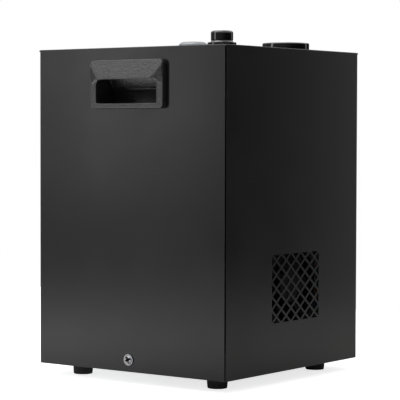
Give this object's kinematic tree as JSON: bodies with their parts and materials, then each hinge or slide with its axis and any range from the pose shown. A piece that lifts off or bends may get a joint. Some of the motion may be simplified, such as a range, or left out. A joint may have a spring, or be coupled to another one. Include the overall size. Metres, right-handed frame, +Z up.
{
  "type": "fog machine",
  "caption": "Upright fog machine in a square black steel case: upward outlet, fluid filler cap and knob on top, pocket handles, side grille, rubber feet.",
  "frame": {"origin": "on the floor, under the middle of the square case", "axes": "+Z up, front with the grille faces -Y, handle sides face -X and +X"},
  "size_m": [0.2366, 0.22, 0.3239],
  "materials": {
    "cover_shell": "satin black powder coat, fine grain",
    "base_tray": "zinc-plated sheet",
    "rear_panel": "satin black powder coat",
    "foot_front_left": "moulded rubber, matte",
    "foot_screw_front_left": "zinc-plated",
    "foot_front_right": "moulded rubber, matte",
    "foot_screw_front_right": "zinc-plated",
    "foot_rear_left": "moulded rubber, matte",
    "foot_screw_rear_left": "zinc-plated",
    "foot_rear_right": "moulded rubber, matte",
    "foot_screw_rear_right": "zinc-plated",
    "cover_screw_left": "bright plated",
    "clip_nut_left": "zinc-plated",
    "handle_left": "moulded ABS, coarse texture",
    "heater_cartridge_left": "drawn stainless",
    "insulator_left": "ceramic, unglazed",
    "cover_screw_right": "bright plated",
    "clip_nut_right": "zinc-plated",
    "handle_right": "moulded ABS, coarse texture",
    "heater_cartridge_right": "drawn stainless",
    "insulator_right": "ceramic, unglazed",
    "outlet_collar": "turned, bead blasted",
    "collar_nut": "zinc-plated",
    "outlet_pipe": "copper tube",
    "heater_block": "cast",
    "thermostat": "pressed",
    "heat_shield": "rolled sheet",
    "heater_stand": "zinc-plated sheet",
    "fluid_tank": "milky HDPE",
    "filler_neck": "moulded",
    "neck_nut": "moulded",
    "intake_filter": "sintered bronze",
    "cap_seal": "rubber washer",
    "filler_cap": "moulded, glossy black",
    "potentiometer": "pressed can",
    "pot_shaft": "turned",
    "pot_nut": "zinc-plated",
    "output_knob": "moulded, glossy black",
    "power_inlet": "moulded",
    "fuse_drawer": "moulded",
    "switch_frame": "moulded",
    "power_rocker": "moulded, glossy black",
    "button_bezel": "bright plated",
    "fog_button": "moulded, red",
    "ready_lamp": "green lens",
    "dmx_in": "moulded",
    "dmx_out": "moulded",
    "fan_frame": "moulded",
    "fan_rotor": "moulded",
    "fan_bracket": "zinc-plated sheet",
    "pump_body": "cast and turned",
    "pump_coil": "varnished copper winding",
    "pump_plunger": "ground steel",
    "control_board": "green solder mask",
    "board_rail_front": "moulded",
    "board_rail_rear": "moulded",
    "transformer": "lacquered laminations",
    "suction_tube": "silicone tube",
    "delivery_tube": "PTFE tube",
    "heater_lead": "silicone insulated wire"
  },
  "bodies": {
    "root": {"cover_shell": "cover_shell", "base_tray": "base_tray", "rear_panel": "rear_panel", "foot_front_left": "foot_front_left", "foot_screw_front_left": "foot_screw_front_left", "foot_front_right": "foot_front_right", "foot_screw_front_right": "foot_screw_front_right", "foot_rear_left": "foot_rear_left", "foot_screw_rear_left": "foot_screw_rear_left", "foot_rear_right": "foot_rear_right", "foot_screw_rear_right": "foot_screw_rear_right", "cover_screw_left": "cover_screw_left", "clip_nut_left": "clip_nut_left", "handle_left": "handle_left", "heater_cartridge_left": "heater_cartridge_left", "insulator_left": "insulator_left", "cover_screw_right": "cover_screw_right", "clip_nut_right": "clip_nut_right", "handle_right": "handle_right", "heater_cartridge_right": "heater_cartridge_right", "insulator_right": "insulator_right", "outlet_collar": "outlet_collar", "collar_nut": "collar_nut", "outlet_pipe": "outlet_pipe", "heater_block": "heater_block", "thermostat": "thermostat", "heat_shield": "heat_shield", "heater_stand": "heater_stand", "fluid_tank": "fluid_tank", "filler_neck": "filler_neck", "neck_nut": "neck_nut", "intake_filter": "intake_filter", "potentiometer": "potentiometer", "pot_nut": "pot_nut", "power_inlet": "power_inlet", "switch_frame": "switch_frame", "button_bezel": "button_bezel", "ready_lamp": "ready_lamp", "dmx_in": "dmx_in", "dmx_out": "dmx_out", "fan_frame": "fan_frame", "fan_bracket": "fan_bracket", "pump_body": "pump_body", "pump_coil": "pump_coil", "control_board": "control_board", "board_rail_front": "board_rail_front", "board_rail_rear": "board_rail_rear", "transformer": "transformer", "suction_tube": "suction_tube", "delivery_tube": "delivery_tube", "heater_lead": "heater_lead"},
    "cap_lift": {"cap_seal": "cap_seal"},
    "cap": {"filler_cap": "filler_cap"},
    "knob": {"output_knob": "output_knob", "pot_shaft": "pot_shaft"},
    "rotor": {"fan_rotor": "fan_rotor"},
    "rocker": {"power_rocker": "power_rocker"},
    "button": {"fog_button": "fog_button"},
    "plunger": {"pump_plunger": "pump_plunger"},
    "fuse": {"fuse_drawer": "fuse_drawer"}
  },
  "joints": [
    {"name": "cap_lift", "type": "slide", "parent": "root", "child": "cap_lift", "axis": [0, 0, 1], "range_m": [0, 0.016]},
    {"name": "cap_turn", "type": "hinge", "parent": "cap_lift", "child": "cap", "pos_m": [0.062, -0.057, 0.3144], "axis": [0, 0, 1], "range_deg": [0, 1440]},
    {"name": "knob_turn", "type": "hinge", "parent": "root", "child": "knob", "pos_m": [-0.078, -0.082, 0.311], "axis": [0, 0, 1], "range_deg": [-270, 0]},
    {"name": "fan_spin", "type": "hinge", "parent": "root", "child": "rotor", "pos_m": [0.0017, -0.0958, 0.0882], "axis": [0, 1, 0], "continuous": true},
    {"name": "rocker_tilt", "type": "hinge", "parent": "root", "child": "rocker", "pos_m": [0, 0.0995, 0.074], "axis": [1, 0, 0], "range_deg": [0, 20]},
    {"name": "button_press", "type": "slide", "parent": "root", "child": "button", "axis": [0, -1, 0], "range_m": [0, 0.003], "stiffness_N_per_m": 400},
    {"name": "plunger_stroke", "type": "slide", "parent": "root", "child": "plunger", "axis": [0, 0, 1], "range_m": [0, 0.004]},
    {"name": "fuse_slide", "type": "slide", "parent": "root", "child": "fuse", "axis": [0, 1, 0], "range_m": [0, 0.012]}
  ],
  "couplings": [
    {"joint": "cap_turn", "follows": "cap_lift", "rad_per_m": 1570.8}
  ]
}
